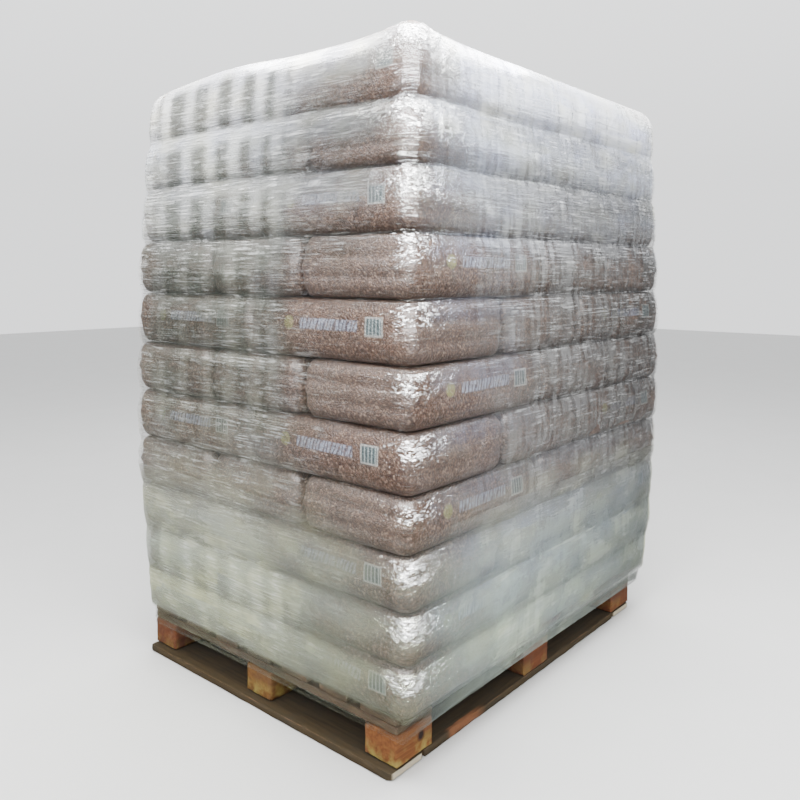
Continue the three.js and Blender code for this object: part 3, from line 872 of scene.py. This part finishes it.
def corner_crumple(xs, ys, rect):
    """How crumpled the film is at each of the load's upright corners, most of all at the near one."""
    x0, x1, y0, y1 = rect
    total = np.zeros_like(xs)
    for x, y, amount in ((x0, y0, 1.0), (x0, y1, 0.35), (x1, y0, 0.35), (x1, y1, 0.5)):
        along = np.abs(xs - x) / FILM_CRUMPLE_REACH[0]
        across = np.abs(ys - y) / FILM_CRUMPLE_REACH[1]
        total = np.maximum(total, amount * bump_at(np.maximum(along, across), 1.0))
    return total


def film_shape(heights_at, seed, lift, wrinkle):
    """A sleeve of film around the load, from the heights of its rows at each column.

    x, y and tall are the places of its points, and the other fields say where each of them lies.
    """
    kinds, shares = film_columns()
    heights = heights_at.mean(axis=1, keepdims=True)
    rect, radius = film_rects(heights)
    xs, ys, out_x, out_y = rounded_outline(rect, radius, FILM_SIDE_STEPS, FILM_CORNER_STEPS)
    _, level = layer_phase(heights)
    around = np.cumsum(np.hypot(np.diff(xs[0], prepend=xs[0, -1]), np.diff(ys[0], prepend=ys[0, -1])))
    crumpled = corner_crumple(xs, ys, rect)
    clear = bump_at(np.maximum(np.abs(xs - rect[0]), np.abs(ys - rect[2])), CLEAR_REACH)
    dips = joint_dips(kinds, shares, heights)
    tall = heights_at + top_lift(xs, ys) * fade(heights, SEAMS[-2], SEAMS[-1] - SEAMS[-2])

    above_hem = fade(heights, FILM_TIMBER_TOP, 0.05)
    bow = np.where(np.char.startswith(kinds, "side"), 4 * shares * (1 - shares), 0.0)
    waves = lattice_noise(around / 0.21, tall / 0.024, seed) * LONG_WAVE
    waves = waves + fractal_noise(around / 0.6, tall / 0.075, seed + 1) * BROAD_WAVE
    waves = waves + fractal_noise(around / 0.026, tall / 0.022, seed + 2) * CRUMPLE_DEPTH * crumpled
    waves = waves + lattice_noise(around / 0.04, tall / 0.7, seed + 31) * PULL_DEPTH
    away = lift - film_groove(heights) - JOINT_DIP_DEPTH * dips
    away = away + above_hem * (SIDE_BOW * bow) + wrinkle * above_hem * waves
    away = np.where(tall < FILM_TIMBER_TOP, lift, away)
    return SimpleNamespace(x=xs + out_x * away, y=ys + out_y * away, tall=tall, heights=heights, rect=rect,
                           side=kinds, level=level, around=around, crumpled=crumpled, clear=clear, dips=dips)


# The film's looks

def film_material(name, shift, density):
    """Several turns of clear film: silvery haze, level drawn lines with painted glint dashes, and sharp
    glints on its creases, partly from the lamps and partly painted white.
    """
    nodes = Shader(name)
    crinkle = nodes.attribute("crinkle")
    drawn = nodes.attribute("drawn")
    moved = nodes.mapped(nodes.place(), (1, 1, 1), offset=(shift, 0.3 * shift, 0.7 * shift))
    ribs = nodes.noise(moved, (6, 6, 200), detail=2)
    lines = nodes.noise(moved, (11, 11, 260), detail=2)
    weave = nodes.noise(moved, (62, 62, 4.5), detail=1, roughness=0.4)
    broad = nodes.noise(moved, (5, 5, 9), detail=5, roughness=0.62, distortion=0.5)
    folds = nodes.noise(moved, (24, 24, 54), detail=6, roughness=0.72, distortion=0.6)
    fine = nodes.noise(moved, (95, 95, 250), detail=3, roughness=0.55)
    facets = nodes.noise(moved, (40, 40, 60), detail=4, roughness=0.6, distortion=0.5)
    # Painted glint dashes: short level lines painted near white and made more opaque.
    streaks = nodes.remap(lines, 0.515, 0.6) * nodes.remap(folds, 0.44, 0.56) * drawn
    ripple = nodes.remap(lines, 0.35, 0.65, -0.5, 0.5) * drawn
    upright = nodes.remap(weave, 0.3, 0.7, -0.45, 0.35) * nodes.attribute("woven")
    alpha = (nodes.attribute("haze") + streaks * 0.45) * (1.0 + (ripple + upright))
    alpha = alpha * nodes.remap(broad, 0.35, 0.65, 0.6, 1.4)
    # Painted glints: where the film is crumpled, its creases are painted white and made nearly opaque.
    crowding = folds * 0.5 + fine * 0.5 + (crinkle - 1.0) * 0.2
    creases = nodes.math("MULTIPLY", nodes.remap(crowding, 0.492, 0.532),
                         nodes.remap(crinkle, 0.0, 0.1), clamp=True)
    alpha = alpha * density + creases
    alpha = nodes.math("MINIMUM", nodes.math("MAXIMUM", alpha, 0.02), 0.97)
    tint = nodes.mix(streaks * 0.8, nodes.attribute("tint", "Vector"), STREAK_TINT)
    tint = nodes.mix(creases, tint, WHITE)
    normal = nodes.bump(ribs * (0.25 + drawn * 0.75), 0.0014, 0.9)
    normal = nodes.bump(broad, 0.008, 0.4, normal)
    normal = nodes.bump(facets * crinkle, 0.016, 1.0, normal)
    return nodes.finish(Base_Color=tint, Metallic=0.45, Roughness=0.2, IOR=1.6, Alpha=alpha, Normal=normal)


def gathered_bands(at):
    """Upright stripes of painted reflection on the left face, and how far they reach."""
    wander = 0.006 * lattice_noise(at.tall / 0.3, 5, SEED + 90)
    bands = np.zeros_like(at.y)
    for number, place in enumerate(GATHERED_PLACES):
        strength = 0.75 + 0.25 * lattice_noise(at.tall / 0.11, 3.7 * number, SEED + 91)
        one = strength * np.exp(-np.abs((at.y + wander - place) / GATHERED_HALF_WIDTH) ** 3)
        bands = np.maximum(bands, one)
    reach = np.interp(at.tall, GATHERED_HEIGHTS, GATHERED_STRENGTHS) * (at.side == "side1")
    reach = reach * fade(at.y, GATHERED_PLACES[0] + 0.06, -0.04)
    reach = reach * fade(at.y, GATHERED_PLACES[-1] - 0.06, 0.05)
    joined = fade(at.level, 0.35, 0.35) * fade(at.tall, 1.15, 0.08)
    return bands * (1 - joined) + joined * 0.8, reach


def add_zones(at, seed):
    """Adds what the tables say at each height, and a weight for each zone of the film."""
    def by_layer(values):
        return np.interp(at.heights, LAYER_MIDDLES, values)

    for key, values in FILM_BY_LAYER.items():
        setattr(at, key, by_layer(values))
    at.layer_tint = np.stack([by_layer(tones) for tones in zip(*FILM_TINTS)], axis=-1)
    x0, x1, y0, _ = at.rect
    at.from_corner = np.abs(at.x - x0)
    at.along_right = at.from_corner / (x1 - x0)
    at.crest = np.clip(at.level * 3 - 0.3, -1, 1)
    at.lower = np.clip(0.15 - 1.6 * at.level, 0, 1)
    at.right = (at.side == "side2") * fade(at.from_corner, 0.03, 0.06)
    at.left = (at.side == "side1") * fade(at.y - y0, 0.03, 0.03)
    at.near = bump_at(np.maximum(at.from_corner, np.abs(at.y - y0)), 0.16)
    at.shaded_far = at.left * fade(at.y, -0.2, 0.35) * at.shade_left
    at.shaded_far = at.shaded_far + at.right * fade(at.x, -0.2, 0.7) * at.shade_right
    at.shaded = at.shaded_far + at.left * fade(at.y, 0.05, -0.25) * at.shade_near_left
    # Painted shade: on the left face near the corner, the lower half of each row gets clearer film and a
    # darker tint.
    at.under = at.left * bump_at(at.y - y0, 0.34) * at.lower * at.under_left
    # Painted reflection of the sky: a milkier, bluish veil on the upper halves of the rows on the right
    # face.
    at.veiled = at.right * np.clip(at.crest, 0, 1) * at.veil_right
    # Painted shade on the far part of the left face: denser film blended towards a dark grey-green tint.
    at.dull_left = at.left * fade(at.y, -0.25, 0.3) * at.grey_left
    # Painted shade on the right face away from the corner: much denser film blended towards a dark grey
    # tint.
    at.dull_right = at.right * fade(at.along_right, 0.16, 0.25) * at.grey_right
    at.bands, at.reach = gathered_bands(at)
    # Painted reflection on the left face: dark gaps between the stripes high up, and brighter stripes low
    # down.
    at.gaps = at.reach * (1 - at.bands) * fade(at.tall, 0.55, 0.2)
    at.low_bands = at.bands * at.reach * (at.tall < 0.5)
    at.over_timber = fade(at.tall, 0.142, -0.006)
    at.blotch = fractal_noise(at.around / 0.09, at.tall / 0.06, seed + 12)


def film_haze(at, seed):
    """How milky the film is: densest high up and low down, clearest around the near corner."""
    haze = at.haze_near_corner * at.clear + at.haze_elsewhere * (1 - at.clear)
    # Painted sheen: the upper half of each row is made milkier and its lower half clearer, less so on the
    # right face away from the corner.
    haze = haze * (1 + at.haze_on_crest * at.crest * (1 - at.right * (0.85 - 0.8 * at.near)))
    haze = haze + 0.05 * at.shaded_far + 0.16 * at.dips
    haze = haze * (1 - 0.75 * at.under)
    streak = lattice_noise(at.around / 0.018, at.tall / 0.3, seed + 13)
    haze = haze * (1 + 0.3 * at.blotch + 0.16 * streak * at.drawn_lines)
    thinned = np.clip(1.3 * at.crumpled, 0, 1) * at.corner_clear
    haze = haze * (1 - (0.8 - 0.45 * at.right) * thinned)
    haze = haze + 0.1 * at.right * fade(at.tall, 1.1, 0.2) + 0.16 * at.veiled
    # Painted reflection stripes: the film is made milky in bright upright bands on the left face.
    haze = haze * (1 - at.reach) + at.reach * (0.56 + at.bands * (0.1 + 0.35 * haze))
    at_edge = np.clip(1 - (at.tall - at.tall[:1]) / 0.006, 0, 1)
    haze = haze * (1 - at.over_timber * (0.85 - 0.72 * at.right)) + 0.14 * at_edge * at.over_timber
    return haze + 0.22 * at.dull_left + 0.44 * at.dull_right


def film_crinkle(at, seed):
    """How sharply the film is crumpled: at the corners, and along pulls that fall away on the right face.
    The same weight bumps the film and paints white glints on its creases.
    """
    rising = np.interp(at.level, [-0.45, -0.1, 0.35, 1.0], [0.0, 0.35, 1.0, 1.0])
    wander = 0.35 * lattice_noise(at.from_corner / 0.05, at.tall / 0.2, seed + 15)
    pull_line = 0.55 - 3.2 * at.from_corner + wander
    # The pulls on the right face are bumped and also get painted white glints.
    pulled = bump_at(at.level - pull_line, 0.3) * np.clip(1.15 - at.from_corner / 0.3, 0, 1)
    pulled = 0.85 * at.right * pulled * at.pulled_right
    return np.clip(np.maximum(at.crumpled * rising, pulled), 0, 1)


def film_drawn(at):
    """How strongly the film shows level lines, and a fine upright weave."""
    lines = at.drawn_lines
    drawn = lines * (1 - 0.45 * at.clear) * (1 - at.right * (0.62 - 0.1 * at.dull_right))
    between = 1 - np.maximum(at.bands * at.reach, 1 - at.reach)
    drawn = drawn * (1 - at.left * (at.tall > 0.6) * 0.55 * between)
    drawn = drawn * (1 - 0.85 * at.over_timber) * (1 - 0.45 * at.left * np.clip(at.shaded, 0, 1))
    drawn = np.maximum(drawn, 1.2 * at.low_bands)
    return drawn, lines * (0.4 + 0.6 * at.right + 0.5 * at.dull_right)


def film_tint(at):
    """The film's colour, with much painted light and shade: each step scales it by a weight, or blends it
    towards another one.
    """
    # Painted light and shade: the tint of each row's upper half is made lighter or darker against its lower
    # half, layer by layer, on each face.
    rise = at.crest_right * at.right * fade(at.along_right, 0.1, 0.2) + at.crest_left * (1 - at.right)
    # Painted sky reflection: the right face and the back are tinted cooler, and the right face more so low
    # down.
    cool = np.maximum(at.right, at.side == "side0")
    # The painted stripes are dimmed high up.
    lined = at.bands * at.reach * (at.tall > 0.6) * at.band_dim
    # Painted shade: a broad darker patch high on the right face.
    patch = at.right * bump_at(at.x - GREY_PATCH_PLACE[0], GREY_PATCH_SIZE[0])
    patch = patch * bump_at(at.tall - GREY_PATCH_PLACE[1], GREY_PATCH_SIZE[1])
    seam = np.clip(np.abs(at.level * 1.03 - 0.06), 0, 1) ** 5
    tint = at.layer_tint

    def scale(steps):
        changed = tint
        for weight, change in steps:
            changed = changed * (1 + weight[..., None] * np.array(change))
        return changed

    def blend(weight, target):
        return tint * (1 - weight[..., None]) + weight[..., None] * np.array(target)

    tint = scale([(rise * at.crest, 1.0), (at.right * at.dim_right, -1.0),
                  (at.blotch, (0.07, 0.05, -0.07)), (cool, (-0.02, 0.01, 0.1)),
                  (at.veiled, (-0.16, -0.12, 0.08)),
                  (at.right * fade(at.tall, 0.6, -0.2), (-0.08, -0.03, 0.07)),
                  (at.low_bands, 0.35), (lined, -1.0), (patch, -0.6)])
    tint = blend(at.dull_left, DULL_TINT_LEFT)
    tint = blend(at.dull_right, DULL_TINT_RIGHT)
    # Painted shade: darker on the far parts of both faces and near the corner on the left, in the lower
    # halves of the rows on the left and at the crumpled corner, and towards the seams between rows.
    tint = scale([(at.shaded, -0.6), (at.under, -0.3), (at.crumpled * at.lower, -0.45),
                  (seam * at.seam_shade, -1.0)])
    return np.clip(blend(at.gaps, GATHERED_GAP_TINT), 0, 1)


def film_skin(heights_at, seed, lift, wrinkle=1.0):
    """The points of a sleeve of film, and the attributes that its material reads."""
    at = film_shape(heights_at, seed, lift, wrinkle)
    add_zones(at, seed)
    drawn, woven = film_drawn(at)
    looks = {"haze": film_haze(at, seed), "crinkle": film_crinkle(at, seed), "drawn": drawn, "woven": woven,
             "tint": film_tint(at)}
    return np.stack([at.x, at.y, at.tall], axis=-1), looks


def add_film(name, points, looks, material):
    faces = grid_faces(*points.shape[:2])
    piece = add_piece(name, points, faces, material, looks)
    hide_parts("stretch_film")
    return piece


def collar_rings(edge, around, shares):
    """Rings that fold the film over the upper sacks and end in a loose edge."""
    low, high = LAYER_BOXES[-1, :, :2]
    flat = edge[:, :2]
    toward = np.clip((low + high) / 2 - flat, -1, 1)
    rings = []
    for share in shares:
        place = flat + toward * (FILM_COLLAR_WIDTH * share ** 1.2) / ((high - low) / 2)
        pleat = lattice_noise(around / 0.035, share * 2, SEED + 60) * 0.003 * share
        rise = (FILM_RIM_DROP + FILM_COLLAR_RISE) * math.sin(min(1.0, share * 1.4) * math.pi / 2)
        settle = top_lift(*place.T) - top_lift(*flat.T)
        rings.append(np.column_stack([place, edge[:, 2] + rise + settle + pleat]))
    return rings


def make_film():
    kinds, shares = film_columns()
    around = np.linspace(0, SWAY_SPAN, len(kinds))
    rim = SEAMS[-1] - FILM_RIM_DROP
    lifted = np.where(kinds == "side2", np.clip(8 * shares * (1 - shares), 0, 1), 0.0)
    hem = FILM_HEM_HEIGHT + FILM_HEM_SWING * lattice_noise(around / 0.45, 0, SEED + 40)
    hem = hem + FILM_HEM_LIFT_RIGHT * lifted
    share = np.linspace(0, 1, FILM_ROWS)[:, None]
    points, looks = film_skin(hem * (1 - share) + rim * share, SEED + 50, 0.0)
    fades = np.linspace(0, 1, FILM_COLLAR_ROWS + 1)[1:]
    points = np.concatenate([points, collar_rings(points[-1], around, fades)])
    for key, values in looks.items():
        thinning = 1 - 0.3 * fades.reshape((-1,) + (1,) * (values.ndim - 1))
        looks[key] = np.concatenate([values, values[-1:] * thinning])
    wrap = add_film("stretch_film_wrap", points, looks, film_material("film_main_turns", 0.0, 1.0))

    # Extra turns at the foot and the head: name, start, end, sway of the end, rows, density and seed.
    bands = [("lower_turns", 0.098, 0.575, 1.0, 52, 0.85, 70),
             ("upper_turns", 1.265, rim - 0.004, 0.0, 44, 0.75, 80)]
    for name, start, end, end_sway, rows, density, offset in bands:
        share = np.linspace(0, 1, rows)[:, None]
        sway = 0.01 * lattice_noise(around / 0.6, 0, SEED + offset)
        heights = (start + sway) * (1 - share) + (end + sway * end_sway) * share
        points, looks = film_skin(heights, SEED + offset, TURN_THICKNESS, wrinkle=0.9)
        material = film_material(f"film_{name}", 0.11 * offset, density)
        band = add_film(f"stretch_film_{name}", points, looks, material)
        end - start


make_camera()
make_studio()
make_pallet()
make_sacks()
make_film()
